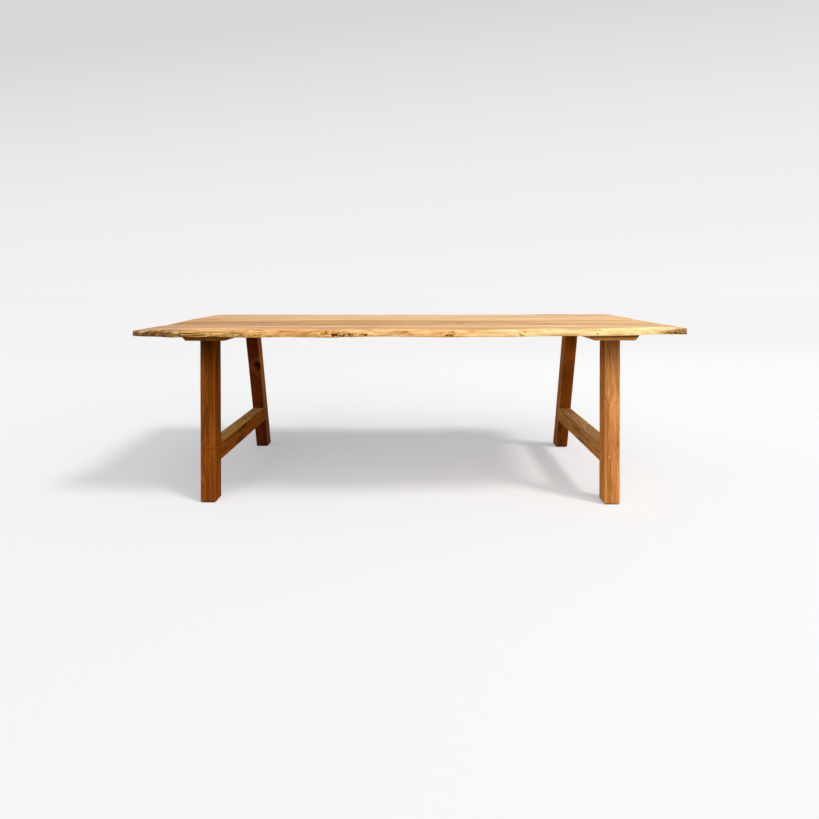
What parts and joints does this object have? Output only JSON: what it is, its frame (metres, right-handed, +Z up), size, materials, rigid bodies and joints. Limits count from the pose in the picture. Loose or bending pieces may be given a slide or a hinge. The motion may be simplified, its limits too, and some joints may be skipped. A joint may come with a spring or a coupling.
{
  "type": "dining table",
  "caption": "Dining table with a natural-edged plank top, screwed to bevelled battens on splayed trestle legs with low stretchers.",
  "frame": {"origin": "on the floor, under the centre of the top's bounding box", "axes": "+X along the table's length to the right, +Y to its back, +Z up"},
  "size_m": [2.3488, 1.0289, 0.78],
  "materials": {
    "front_board_wood": "oiled, satin",
    "inner_front_board_wood": "oiled, satin",
    "inner_back_board_wood": "oiled, satin",
    "back_board_wood": "oiled, satin",
    "batten_wood": "oiled, satin",
    "leg_wood": "oiled, satin",
    "stretcher_wood": "oiled, satin",
    "pin_wood": "planed flush",
    "dowel_wood": "plain",
    "zinc_steel": "zinc plated"
  },
  "bodies": {
    "root": {"top_board_front": "front_board_wood", "top_board_inner_front": "inner_front_board_wood", "top_board_inner_back": "inner_back_board_wood", "top_board_back": "back_board_wood", "seam_dowels_front": "dowel_wood", "seam_dowels_middle": "dowel_wood", "seam_dowels_back": "dowel_wood", "batten_left": "batten_wood", "batten_right": "batten_wood", "leg_front_left": "leg_wood", "leg_back_left": "leg_wood", "leg_front_right": "leg_wood", "leg_back_right": "leg_wood", "leg_wedges_left": "dowel_wood", "leg_wedges_right": "dowel_wood", "stretcher_left": "stretcher_wood", "stretcher_right": "stretcher_wood", "stretcher_pins_left": "pin_wood", "stretcher_pins_right": "pin_wood", "batten_screws_left": "zinc_steel", "batten_screws_right": "zinc_steel", "batten_washers_left": "zinc_steel", "batten_washers_right": "zinc_steel"}
  },
  "joints": []
}
